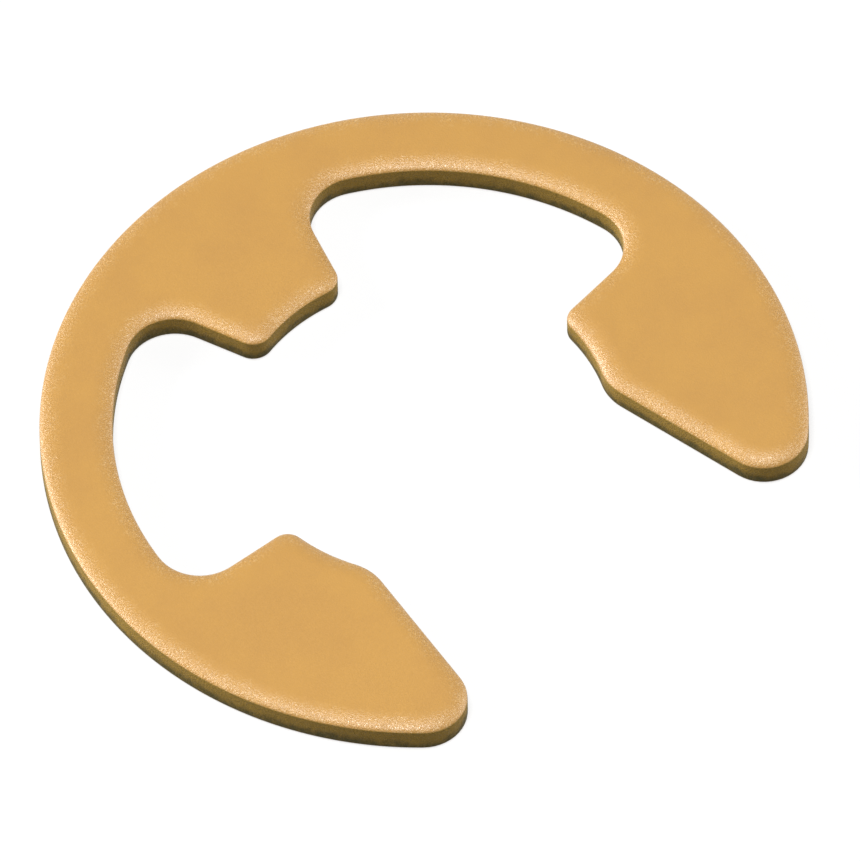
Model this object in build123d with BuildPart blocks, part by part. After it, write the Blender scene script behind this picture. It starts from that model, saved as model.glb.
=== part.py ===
from build123d import *
import os
from math import asin, cos, radians, sin, tan

# E-clip: a flat retaining ring blanked from spring strip. Three prongs reach in
# from the ring and close on the groove of a shaft. The origin is the seat's
# centre on the underside, +Z is the side with the rolled edge, and the opening
# faces -Y.

# Driving dimensions, in millimetres and degrees
thickness = 0.8
seat_diameter = 8.86  # circle that the tips of the three prongs lie on
prong_length = 2.94  # from the seat out to the pockets
ring_width = 1.73  # from the pockets out to the rim

opening_angle = 120.0  # the seat's open part, between the side prongs
opening_flare = 10.1  # lean of each opening face from the middle line
side_tip_angle = 29.5  # the seat's part that one side prong covers
side_prong_lean = 4.9  # lean of a side prong's inner flank from the radius
middle_prong_width = 2.86  # across the middle prong where it meets the seat
middle_prong_taper = 19.1  # lean of each of its flanks from the middle line

# Corner radii of the sheared outline
middle_tip_radius = 0.48
nose_radius = 0.42
throat_radius = 1.3
end_radius = 1.05
root_radius = 1.14

# Die roll: blanking draws the upper edge down and in all round, and furthest at
# the noses of the side prongs, where the least metal backs the cut
roll_width = 0.41
roll_depth = 0.18
opening_roll_depth = 0.22
nose_roll_width = 0.45
nose_roll_depth = 0.28
roll_turn = 75.0  # from the upright wall to the roll's meeting with the flat face
roll_steps = 8  # levels up the roll, no more than 0.004 off its true curve
middle_tip_flat_radius = 0.35
nose_flat_radius = 0.55
underside_radius = 0.09  # tumbled lower edge

# Sizes that follow
seat_radius = seat_diameter / 2
pocket_radius = seat_radius + prong_length
rim_radius = pocket_radius + ring_width
nose_angle = opening_angle / 2 + side_tip_angle
wall_height = thickness - nose_roll_depth
beyond_rim = 2 * rim_radius


def around(angle, radius):
    """Point on the right-hand side, at this angle from the opening's middle line."""
    return Vector(0, -radius).rotate(Axis.Z, angle)


def blend(start, end, share):
    """Value at this share of the way from start to end."""
    return start + (end - start) * share


def roll_height(step):
    """Height of one level of the deepest roll, which turns evenly from level to level."""
    turn = radians(roll_turn * step / roll_steps)
    return wall_height + nose_roll_depth * sin(turn) / sin(radians(roll_turn))


def rolled_share(height, depth):
    """Share of its width by which a roll of this depth has drawn in at this height."""
    rise = max(0.0, height - thickness + depth) / depth
    turn = asin(rise * sin(radians(roll_turn)))
    return (1 - cos(turn)) / (1 - cos(radians(roll_turn)))


def opening(inset):
    """The gap between the side prongs, from the seat's centre out past the rim."""
    throat = around(opening_angle / 2, seat_radius)
    spread = tan(radians(opening_flare))
    inner = throat.X + throat.Y * spread + inset / cos(radians(opening_flare))
    outer = inner + beyond_rim * spread
    with BuildSketch() as gap:
        Polygon(
            (-inner, 0), (inner, 0), (outer, -beyond_rim), (-outer, -beyond_rim), align=None
        )
    return gap.sketch


def right_pocket(inset, nose_inset):
    """The pocket between the middle prong and the right-hand side prong."""
    middle_line = Vector(0, 1).rotate(Axis.Z, -middle_prong_taper)
    middle_tip = Vector(middle_prong_width / 2, seat_radius)
    middle_tip -= Vector(inset / cos(radians(middle_prong_taper)), 0)
    nose = around(nose_angle, seat_radius)
    side_line = around(nose_angle + side_prong_lean, 1)
    into_prong = side_line.rotate(Axis.Z, -90)
    side_root = nose + side_line * prong_length + into_prong * inset
    nose += into_prong * nose_inset
    side_line = (side_root - nose).normalized()
    with BuildSketch() as pocket:
        Circle(pocket_radius + inset)
        Polygon(
            middle_tip - middle_line * seat_radius / 2,
            middle_tip + middle_line * beyond_rim,
            nose + side_line * beyond_rim,
            nose - side_line * seat_radius / 2,
            align=None,
            mode=Mode.INTERSECT,
        )
        roots = pocket.vertices().sort_by(SortBy.DISTANCE)[-2:]
        fillet(roots, root_radius + inset)
    return pocket.sketch


def seat(inset, nose_inset):
    """The hole that the prongs close on, with the side prongs' tips drawn in further."""
    with BuildSketch() as hole:
        Circle(seat_radius + nose_inset)
        with Locations((0, seat_radius / 2)):
            Rectangle(
                beyond_rim, beyond_rim, align=(Align.CENTER, Align.MAX), mode=Mode.INTERSECT
            )
        Circle(seat_radius + inset)
    return hole.sketch


def prong_corners(level):
    """The six corners on the seat, from the throat to the middle prong, in pairs."""
    return level.vertices().sort_by(SortBy.DISTANCE)[:6].sort_by(Axis.Y)


def outline(height):
    """The clip's outline at one height, drawn in by the die roll there."""
    share = rolled_share(height, roll_depth)
    nose_share = rolled_share(height, nose_roll_depth)
    inset = roll_width * share
    opening_inset = roll_width * rolled_share(height, opening_roll_depth)
    nose_inset = nose_roll_width * nose_share
    pocket = right_pocket(inset, nose_inset)
    with BuildSketch(Plane.XY.offset(height)) as level:
        Circle(rim_radius - inset)
        add(opening(opening_inset), mode=Mode.SUBTRACT)
        fillet(level.vertices().sort_by(Axis.Y)[:2], end_radius - inset)
        add(seat(inset, nose_inset), mode=Mode.SUBTRACT)
        add(pocket, mode=Mode.SUBTRACT)
        add(mirror(pocket, about=Plane.YZ, mode=Mode.PRIVATE), mode=Mode.SUBTRACT)
        fillet(prong_corners(level)[:2], throat_radius - opening_inset)
        fillet(prong_corners(level)[2:4], blend(nose_radius, nose_flat_radius, nose_share))
        fillet(prong_corners(level)[4:], blend(middle_tip_radius, middle_tip_flat_radius, share))
    return level.sketch


# The upright wall with its tumbled lower edge, and the roll above it
with BuildPart() as e_clip:
    extrude(outline(0), amount=wall_height)
    fillet(e_clip.edges().group_by(Axis.Z)[0], underside_radius)
    loft([outline(roll_height(step)) for step in range(roll_steps + 1)], ruled=True)

e_clip.part.label = "e_clip"

os.makedirs("parts", exist_ok=True)
export_step(e_clip.part, "parts/e_clip.step")
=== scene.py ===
from math import asin, ceil, cos, degrees, pi, radians, sin

import bpy
import numpy as np
from mathutils import Matrix, Vector
from mathutils.geometry import delaunay_2d_cdt


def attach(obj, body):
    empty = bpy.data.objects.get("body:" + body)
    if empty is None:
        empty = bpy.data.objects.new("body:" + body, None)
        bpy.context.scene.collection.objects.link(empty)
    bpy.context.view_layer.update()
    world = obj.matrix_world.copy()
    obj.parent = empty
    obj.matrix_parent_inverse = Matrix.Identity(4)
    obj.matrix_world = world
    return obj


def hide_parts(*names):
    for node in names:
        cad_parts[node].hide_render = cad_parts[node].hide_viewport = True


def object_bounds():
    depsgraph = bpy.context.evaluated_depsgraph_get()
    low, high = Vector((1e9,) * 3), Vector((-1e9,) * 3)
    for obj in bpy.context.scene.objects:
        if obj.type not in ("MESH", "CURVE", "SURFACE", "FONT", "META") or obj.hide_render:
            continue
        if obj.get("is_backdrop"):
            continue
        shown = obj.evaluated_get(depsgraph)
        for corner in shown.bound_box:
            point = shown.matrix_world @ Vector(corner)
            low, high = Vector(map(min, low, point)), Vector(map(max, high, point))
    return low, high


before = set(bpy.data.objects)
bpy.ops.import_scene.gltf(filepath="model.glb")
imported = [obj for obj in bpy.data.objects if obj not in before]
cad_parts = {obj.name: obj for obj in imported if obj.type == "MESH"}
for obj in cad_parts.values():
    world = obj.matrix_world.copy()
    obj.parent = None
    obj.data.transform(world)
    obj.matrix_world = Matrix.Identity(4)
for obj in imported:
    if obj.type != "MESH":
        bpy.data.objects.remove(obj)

# An E-clip of yellow zinc-plated spring steel, lying flat with its die-rolled edge
# up. The mesh follows part.py's named sizes, in millimetres, with a finer and
# smoother roll; it is put into metres at the end.

cad_low, cad_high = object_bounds()
MM = 0.001

# Driving dimensions, the same as the CAD part's
thickness = 0.8
seat_radius = 8.86 / 2
pocket_radius = seat_radius + 2.94
rim_radius = pocket_radius + 1.73
opening_angle = 120.0
opening_flare = 10.1
side_tip_angle = 29.5
side_prong_lean = 4.9
middle_prong_width = 2.86
middle_prong_taper = 19.1

middle_tip_radius = 0.48
nose_radius = 0.42
throat_radius = 1.3
end_radius = 1.05
root_radius = 1.14

roll_width = 0.41
roll_depth = 0.18
opening_roll_depth = 0.22
nose_roll_width = 0.45
nose_roll_depth = 0.28
roll_turn = 75.0
middle_tip_flat_radius = 0.35
nose_flat_radius = 0.55
underside_radius = 0.09

# How finely the mesh is cut
point_spacing = 0.13
corner_points = 16
underside_levels = 6
wall_levels = 6
roll_levels = 30
flat_spacing = 0.17
rim_sweep = 2.6  # radians of the rim on one side, a little rounded
batch = 2000  # points measured at a time, to spare memory

wall_height = thickness - nose_roll_depth
nose_angle = opening_angle / 2 + side_tip_angle
straight = 5.0  # any length past the next corner, for a side cut off there


# ---------------------------------------------------------------- the outline

def around(angle, radius):
    """Point on the right-hand side, at this angle from the opening's middle line."""
    turn = radians(angle - 90)
    return np.array([radius * cos(turn), radius * sin(turn)])


def leftwards(direction):
    return np.array([-direction[1], direction[0]])


def unit(vector):
    return vector / np.linalg.norm(vector)


def line(start, end, start_inset=0.0, end_inset=0.0):
    """A straight side, drawn in to its left by one amount at each end."""
    side = leftwards(unit(end - start))
    start = start + side * start_inset
    end = end + side * end_inset
    return {"point": start, "along": unit(end - start)}


def circle(radius, sense):
    """A round side about the seat's centre: sense is 1 anticlockwise and -1 clockwise."""
    return {"centre": np.zeros(2), "radius": radius, "sense": sense}


def shifted(side, distance):
    """The side moved to its left by this distance."""
    if "along" in side:
        return dict(side, point=side["point"] + leftwards(side["along"]) * distance)
    return dict(side, radius=side["radius"] - side["sense"] * distance)


def crossing(one, other, near):
    """The point nearest to near where a line or circle crosses a circle."""
    if "along" not in one:
        one, other = other, one
    reach = one["point"] - other["centre"]
    half = reach @ one["along"]
    root = np.sqrt(max(half * half - reach @ reach + other["radius"] ** 2, 0.0))
    found = [one["point"] + (-half + sign * root) * one["along"] for sign in (-1, 1)]
    return min(found, key=lambda point: np.linalg.norm(point - near))


def foot(side, point):
    """The point of the side that is nearest to this one."""
    if "along" in side:
        return side["point"] + ((point - side["point"]) @ side["along"]) * side["along"]
    return side["centre"] + unit(point - side["centre"]) * side["radius"]


def arc(centre, start, end, sense, count):
    """Points from start up to, and not including, end round the centre."""
    first = np.arctan2(*(start - centre)[::-1])
    last = np.arctan2(*(end - centre)[::-1])
    if sense * (last - first) < 0:
        last += sense * 2 * pi
    turns = np.linspace(first, last, count, endpoint=False)
    radius = np.linalg.norm(start - centre)
    return centre + radius * np.column_stack([np.cos(turns), np.sin(turns)])


def rolled_share(height, depth):
    """How far a roll of this depth has drawn in at this height.

    It is the CAD part's law, let run on until it meets the flat face smoothly.
    """
    rise = max(0.0, height - thickness + depth) / depth
    turn = asin(min(rise, 1.0))
    return (1 - cos(turn)) / (1 - cos(radians(roll_turn)))


def half_outline(height, counts=None):
    """The right-hand half of the outline at one height, from the middle prong to the rim.

    Counts says how many points each side takes. Without it they are worked out here, and
    every other height then takes the same, so that the heights join point to point.
    """
    share = rolled_share(height, roll_depth)
    nose_share = rolled_share(height, nose_roll_depth)
    inset = roll_width * share
    face_inset = roll_width * rolled_share(height, opening_roll_depth)
    nose_inset = nose_roll_width * nose_share
    if height < underside_radius:
        inset = underside_radius - np.sqrt(
            max(underside_radius ** 2 - (underside_radius - height) ** 2, 0.0)
        )
        face_inset = nose_inset = inset

    middle_tip = np.array([middle_prong_width / 2, seat_radius])
    taper = radians(middle_prong_taper)
    middle_root = middle_tip + np.array([sin(taper), cos(taper)]) * straight
    nose = around(nose_angle, seat_radius)
    side_root = nose + around(nose_angle + side_prong_lean, 1) * (pocket_radius - seat_radius)
    throat = around(opening_angle / 2, seat_radius)
    flare = radians(opening_flare)
    end = throat + np.array([sin(flare), -cos(flare)]) * straight

    sides = [
        circle(seat_radius + inset, -1),
        line(middle_tip, middle_root, inset, inset),
        circle(pocket_radius + inset, -1),
        line(side_root, nose, inset, nose_inset),
        circle(seat_radius + nose_inset, -1),
        line(throat, end, face_inset, face_inset),
        circle(rim_radius - inset, 1),
    ]
    pocket_corner = crossing(sides[1], sides[2], middle_root)
    nose_corner = nose_radius + (nose_flat_radius - nose_radius) * nose_share
    tip_corner = middle_tip_radius + (middle_tip_flat_radius - middle_tip_radius) * share
    corners = [
        (tip_corner, 1, middle_tip),
        (root_radius + inset, -1, pocket_corner),
        (root_radius + inset, -1, side_root),
        (nose_corner, 1, nose),
        (throat_radius - face_inset, 1, throat),
        (end_radius - inset, 1, end),
    ]

    joins = []
    for number, (radius, turn, near) in enumerate(corners):
        before, after = sides[number], sides[number + 1]
        centre = crossing(shifted(before, turn * radius), shifted(after, turn * radius), near)
        joins.append((foot(before, centre), centre, foot(after, centre), turn))

    new_counts = counts is None
    counts = counts or []
    pieces = []
    here = np.array([0.0, sides[0]["radius"]])
    for number, side in enumerate(sides):
        last = number == len(sides) - 1
        there = np.array([0.0, side["radius"]]) if last else joins[number][0]
        if new_counts:
            length = rim_radius * rim_sweep if last else np.linalg.norm(there - here)
            counts.append(max(4, ceil(length / point_spacing)))
        if "along" in side:
            steps = np.linspace(0, 1, counts[number], endpoint=False)[:, None]
            pieces.append(here + (there - here) * steps)
        else:
            pieces.append(arc(side["centre"], here, there, side["sense"], counts[number]))
        if not last:
            start, centre, finish, turn = joins[number]
            pieces.append(arc(centre, start, finish, turn, corner_points))
            here = finish
    pieces.append(there[None, :])
    return np.concatenate(pieces), counts


def loop_at(height, counts):
    """The whole closed outline at one height."""
    right, _ = half_outline(height, counts)
    left = right[-2:0:-1] * np.array([-1.0, 1.0])
    return np.concatenate([right, left])


# ------------------------------------------------------------------- the mesh

_, side_counts = half_outline(underside_radius)

heights = [
    underside_radius * (1 - cos(pi / 2 * step / underside_levels))
    for step in range(underside_levels)
]
heights += list(np.linspace(underside_radius, wall_height, wall_levels, endpoint=False))
heights += [
    wall_height + nose_roll_depth * sin(pi / 2 * step / roll_levels)
    for step in range(roll_levels + 1)
]
loops = [loop_at(height, side_counts) for height in heights]
ring = len(loops[0])
base_loop = loop_at(underside_radius, side_counts)

points = [np.column_stack([loop, np.full(ring, height)]) for loop, height in zip(loops, heights)]
faces = []
for level in range(len(heights) - 1):
    low, high = level * ring, (level + 1) * ring
    for step in range(ring):
        after = (step + 1) % ring
        faces.append((low + step, low + after, high + after, high + step))


def inside(spots, loop):
    """Which of the spots lie inside the closed loop."""
    start, end = loop, np.roll(loop, -1, axis=0)
    x, y = spots[:, 0][:, None], spots[:, 1][:, None]
    straddles = (start[:, 1] > y) != (end[:, 1] > y)
    rise = np.where(end[:, 1] == start[:, 1], 1.0, end[:, 1] - start[:, 1])
    meets = start[:, 0] + (y - start[:, 1]) * (end[:, 0] - start[:, 0]) / rise
    return (straddles & (x < meets)).sum(axis=1) % 2 == 1


def distance_to(spots, loop):
    """Distance from each spot to the nearest stretch of the closed loop."""
    start, step = loop, np.roll(loop, -1, axis=0) - loop
    length = (step ** 2).sum(axis=1)
    best = np.empty(len(spots))
    for first in range(0, len(spots), batch):
        part = spots[first:first + batch, None, :] - start[None]
        share = np.clip((part * step).sum(axis=2) / length, 0, 1)
        gap = np.linalg.norm(part - share[:, :, None] * step, axis=2)
        best[first:first + batch] = gap.min(axis=1)
    return best


def cap(loop, first_index, height, next_index, upwards):
    """Fills a flat face evenly. Returns its new points and its faces."""
    row = flat_spacing * np.sqrt(3) / 2
    rows = ceil(rim_radius / row)
    columns = ceil(rim_radius / flat_spacing) + 1
    spots = [
        (flat_spacing * (across + 0.5 * (up % 2)), row * up)
        for up in range(-rows, rows + 1)
        for across in range(-columns, columns + 1)
    ]
    spots = np.array(spots)
    spots = spots[inside(spots, loop)]
    spots = spots[distance_to(spots, loop) > flat_spacing * 0.6]
    every = [Vector(spot) for spot in np.concatenate([loop, spots])]
    merge_distance = 1e-6
    made = delaunay_2d_cdt(every, [], [list(range(ring))], 1, merge_distance)
    made_faces, made_from = made[2], made[3]
    new_faces = []
    for corners in made_faces:
        face = [made_from[corner][0] for corner in corners]
        face = [first_index + v if v < ring else next_index + v - ring for v in face]
        new_faces.append(tuple(face) if upwards else tuple(reversed(face)))
    return np.column_stack([spots, np.full(len(spots), height)]), new_faces


top_start = (len(heights) - 1) * ring
total = len(heights) * ring
top_points, top_faces = cap(loops[-1], top_start, thickness, total, True)
total += len(top_points)
low_points, low_faces = cap(loops[0], 0, 0.0, total, False)
points = np.concatenate(points + [top_points, low_points])
faces += top_faces + low_faces

edge_distance = distance_to(points[:, :2], base_loop)

mesh = bpy.data.meshes.new("plated_clip")
mesh.from_pydata((points * MM).tolist(), [], faces)
mesh.attributes.new("edge_distance", "FLOAT", "POINT").data.foreach_set(
    "value", edge_distance.astype(np.float32)
)
mesh.shade_smooth()
mesh.update()
clip = bpy.data.objects.new("plated_clip", mesh)
bpy.context.scene.collection.objects.link(clip)
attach(clip, "root")
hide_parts("e_clip")


# --------------------------------------------------------------- node helpers

def linear(red, green, blue):
    """A colour as seen on screen, 0 to 255, as the linear values that a shader takes."""
    values = []
    for value in (red / 255, green / 255, blue / 255):
        values.append(value / 12.92 if value <= 0.04045 else ((value + 0.055) / 1.055) ** 2.4)
    return (*values, 1.0)


class Nodes:
    """A node tree that is written as nested calls."""

    def __init__(self, tree):
        self.tree = tree
        tree.nodes.clear()

    def add(self, kind, output=0, inputs=None, **settings):
        node = self.tree.nodes.new(kind)
        for name, value in settings.items():
            setattr(node, name, value)
        for name, value in (inputs or {}).items():
            if isinstance(value, bpy.types.NodeSocket):
                self.tree.links.new(value, node.inputs[name])
            else:
                node.inputs[name].default_value = value
        return node.outputs[output]

    def maths(self, operation, one, other=0.0, third=0.0):
        inputs = {0: one, 1: other}
        if operation == "MULTIPLY_ADD":
            inputs[2] = third
        return self.add("ShaderNodeMath", 0, inputs, operation=operation)

    def ramp(self, value, low, high, to_low=0.0, to_high=1.0):
        """Goes smoothly from to_low at low to to_high at high."""
        inputs = {0: value, 1: low, 2: high, 3: to_low, 4: to_high}
        return self.add("ShaderNodeMapRange", 0, inputs, interpolation_type="SMOOTHSTEP")

    def noise(self, place, scale, detail=2.0, roughness=0.5):
        inputs = {"Vector": place, "Scale": scale, "Detail": detail, "Roughness": roughness}
        return self.add("ShaderNodeTexNoise", 0, inputs)

    def mix(self, share, one, other):
        inputs = {0: share, 6: one, 7: other}
        return self.add("ShaderNodeMix", 2, inputs, data_type="RGBA")

    def mix_number(self, share, one, other):
        return self.add("ShaderNodeMix", 0, {0: share, 2: one, 3: other}, data_type="FLOAT")


# --------------------------------------------------------------- the material

gold = linear(180, 130, 31)
gold_deep = linear(175, 125, 28)
# pale specks by the edges: partly worn plating and partly a painted glint
pale_wear_and_glint = linear(222, 188, 128)
# the sheared wall's dark olive is partly its own duller colour and partly painted shade
wall_gold = linear(158, 126, 52)
wall_olive_shade = linear(64, 59, 18)

material = bpy.data.materials.new("yellow_zinc")
material.use_nodes = True
nodes = Nodes(material.node_tree)
own_place = nodes.add("ShaderNodeTexCoord", "Object")
place = nodes.add("ShaderNodeVectorMath", 0, {0: own_place, "Scale": 1 / MM}, operation="SCALE")
facing = nodes.add("ShaderNodeSeparateXYZ", "Z", {0: nodes.add("ShaderNodeTexCoord", "Normal")})
height = nodes.add("ShaderNodeSeparateXYZ", "Z", {0: place})
edge = nodes.add("ShaderNodeAttribute", "Fac", attribute_name="edge_distance")

flatness = nodes.maths("ABSOLUTE", facing)
wall = nodes.ramp(flatness, 0.15, 0.5, 1.0, 0.0)

# Tumbling has worn and dinted the plate by its edges, in patches that thin out inwards; the pale
# specks there are partly that wear and partly a painted glint
patches = nodes.maths("MULTIPLY_ADD", nodes.noise(place, 3.0, 3.0, 0.6), 0.6, edge)
near = nodes.ramp(patches, 0.3, 0.9, 1.0, 0.0)
dints = nodes.ramp(nodes.noise(place, 22.0, 2.0, 0.6), 0.35, 0.65)
wear_and_glint_specks = nodes.ramp(nodes.noise(place, 17.0, 3.0, 0.7), 0.5, 0.68, 0.0, 0.5)

# Plate: soft mottling over the flat faces, and pale specks by the edges that are partly wear and
# partly a painted glint
mottle = nodes.noise(place, 0.7, 4.0, 0.6)
fine = nodes.noise(place, 14.0, 3.0, 0.6)
plate = nodes.mix(nodes.ramp(mottle, 0.3, 0.7), gold, gold_deep)
plate = nodes.mix(nodes.maths("MULTIPLY", wear_and_glint_specks, near), plate, pale_wear_and_glint)

# Sheared wall: gold, turning in patches and towards the bottom to a dark olive that is partly
# the wall's own duller colour and partly painted shade
height_with_noise = nodes.maths("MULTIPLY_ADD", nodes.noise(place, 1.6, 3.0, 0.6), 0.5, height)
lower = nodes.ramp(height_with_noise, 0.35, 0.75, 1.0, 0.0)
wall_mottle = nodes.noise(place, 5.0, 4.0, 0.65)
olive_shade_below = nodes.maths("MULTIPLY_ADD", lower, 0.6, -0.35)
olive_shade_share = nodes.maths("MULTIPLY_ADD", wall_mottle, 0.7, olive_shade_below)
wall_colour_and_shade = nodes.mix(nodes.ramp(olive_shade_share, 0.0, 0.8), wall_gold, wall_olive_shade)
colour = nodes.mix(wall, plate, wall_colour_and_shade)

# The passivated film is the coat: it gives the pale glint on the rolled edge that faces
# the lamp, and the sheared wall has hardly any
metal = nodes.mix_number(wall, 0.2, 0.1)
rough = nodes.ramp(fine, 0.3, 0.7, 0.6, 0.7)
shine = nodes.mix_number(wall, 0.5, 0.1)
film = nodes.mix_number(wall, 1.0, 0.1)
film_rough = nodes.ramp(fine, 0.35, 0.65, 0.28, 0.46)
film_ior = 1.7
dint_depth = 0.0065 * MM

bumped = nodes.add(
    "ShaderNodeBump", 0,
    {
        "Strength": 1.0,
        "Distance": dint_depth,
        "Height": nodes.maths("MULTIPLY", dints, nodes.ramp(near, 0.0, 1.0, 0.15, 1.0)),
    },
)
shader = nodes.add(
    "ShaderNodeBsdfPrincipled", 0,
    {
        "Base Color": colour, "Metallic": metal, "Roughness": rough, "Normal": bumped,
        "Specular IOR Level": shine,
        "Coat Weight": film, "Coat Roughness": film_rough, "Coat IOR": film_ior,
        "Coat Normal": bumped,
    },
)
output = material.node_tree.nodes.new("ShaderNodeOutputMaterial")
material.node_tree.links.new(shader, output.inputs["Surface"])
mesh.materials.append(material)


# ------------------------------------------------------- floor, light, camera

def seen(nodes):
    """1 for rays from the camera, from gloss and through glass, and 0 for the rest."""
    path = nodes.tree.nodes.new("ShaderNodeLightPath").outputs
    either = nodes.maths("MAXIMUM", path["Is Camera Ray"], path["Is Glossy Ray"])
    return nodes.maths("MAXIMUM", either, path["Is Transmission Ray"])


box_middle = (cad_low + cad_high) / 2
reach = (cad_high - cad_low).length

# The floor looks white and sends little light up to the walls
white = (1.0, 1.0, 1.0, 1.0)
floor_seen = (0.98, 0.98, 0.98, 1.0)
floor_bounce = (0.05, 0.05, 0.05, 1.0)
floor_half = 40 * reach
shadow_kept = 0.25
floor_mesh = bpy.data.meshes.new("floor")
floor_z = cad_low.z - 0.01 * MM
floor_mesh.from_pydata(
    [(x * floor_half, y * floor_half, floor_z) for x, y in ((-1, -1), (1, -1), (1, 1), (-1, 1))],
    [], [(0, 1, 2, 3)],
)
floor = bpy.data.objects.new("floor", floor_mesh)
bpy.context.scene.collection.objects.link(floor)
floor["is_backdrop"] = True

floor_white = bpy.data.materials.new("floor_white")
floor_white.use_nodes = True
nodes = Nodes(floor_white.node_tree)
looked_at = seen(nodes)
paint = nodes.mix(looked_at, floor_bounce, floor_seen)
plain = nodes.add("ShaderNodeBsdfDiffuse", 0, {"Color": paint})
bright = nodes.add("ShaderNodeEmission", 0, {"Color": white, "Strength": 1.0})
share = nodes.maths("MULTIPLY", looked_at, 1 - shadow_kept)
mixed = nodes.add("ShaderNodeMixShader", 0, {0: share, 1: plain, 2: bright})
output = floor_white.node_tree.nodes.new("ShaderNodeOutputMaterial")
floor_white.node_tree.links.new(mixed, output.inputs["Surface"])
floor_mesh.materials.append(floor_white)

# The world looks white too, and lights the clip only a little
ambient = 0.06
world = bpy.data.worlds.new("studio")
bpy.context.scene.world = world
world.use_nodes = True
nodes = Nodes(world.node_tree)
strength = nodes.ramp(seen(nodes), 0.0, 1.0, ambient, 1.0)
background = nodes.add("ShaderNodeBackground", 0, {"Color": white, "Strength": strength})
output = world.node_tree.nodes.new("ShaderNodeOutputWorld")
world.node_tree.links.new(background, output.inputs["Surface"])

# The photograph's view: from above one side prong, through a long lens
view_azimuth = radians(-41.99)
view_elevation = radians(53.79)
view_roll = radians(1.72)
view_distance = 0.7164
view_lens = 1265.3
aim_right = 0.8986 * MM
aim_up = -0.7345 * MM

forward = Vector((
    -sin(view_azimuth) * cos(view_elevation),
    cos(view_azimuth) * cos(view_elevation),
    -sin(view_elevation),
))
level_right = forward.cross(Vector((0, 0, 1))).normalized()
level_up = level_right.cross(forward)
right = level_right * cos(view_roll) - level_up * sin(view_roll)
up = level_right * sin(view_roll) + level_up * cos(view_roll)

camera = bpy.data.objects.new("camera", bpy.data.cameras.new("camera"))
bpy.context.scene.collection.objects.link(camera)
bpy.context.scene.camera = camera
camera.data.lens = view_lens
camera.data.sensor_width = 36.0
camera.data.clip_start = 0.01
camera.data.clip_end = 100.0
aim = box_middle + right * aim_right + up * aim_up
camera.location = aim - forward * view_distance
camera.rotation_mode = "QUATERNION"
camera.rotation_quaternion = Matrix((right, up, -forward)).transposed().to_quaternion()

lamp_distance = 12 * reach


def lamp(name, azimuth, elevation, size, level):
    """A square softbox aimed at the clip. Level is what it gives a white card that faces it."""
    data = bpy.data.lights.new(name, "AREA")
    data.shape = "SQUARE"
    data.size = size
    data.energy = level * (pi * lamp_distance) ** 2
    holder = bpy.data.objects.new(name, data)
    bpy.context.scene.collection.objects.link(holder)
    turn, rise = radians(azimuth), radians(elevation)
    away = Vector((sin(turn) * cos(rise), -cos(turn) * cos(rise), sin(rise)))
    holder.location = box_middle + away * lamp_distance
    holder.rotation_mode = "QUATERNION"
    holder.rotation_quaternion = (-away).to_track_quat("-Z", "Y")


lamps = (
    # name, degrees round from the camera, degrees up, size, level
    ("key_softbox", -10, 75, 4, 0.9),
    ("left_softbox", -105, 15, 6, 1.2),
    ("right_softbox", 105, 15, 6, 0.5),
)
for name, side, elevation, size, level in lamps:
    lamp(name, degrees(view_azimuth) + side, elevation, size * reach, level)

bpy.context.scene.view_settings.view_transform = "Standard"

low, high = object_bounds()
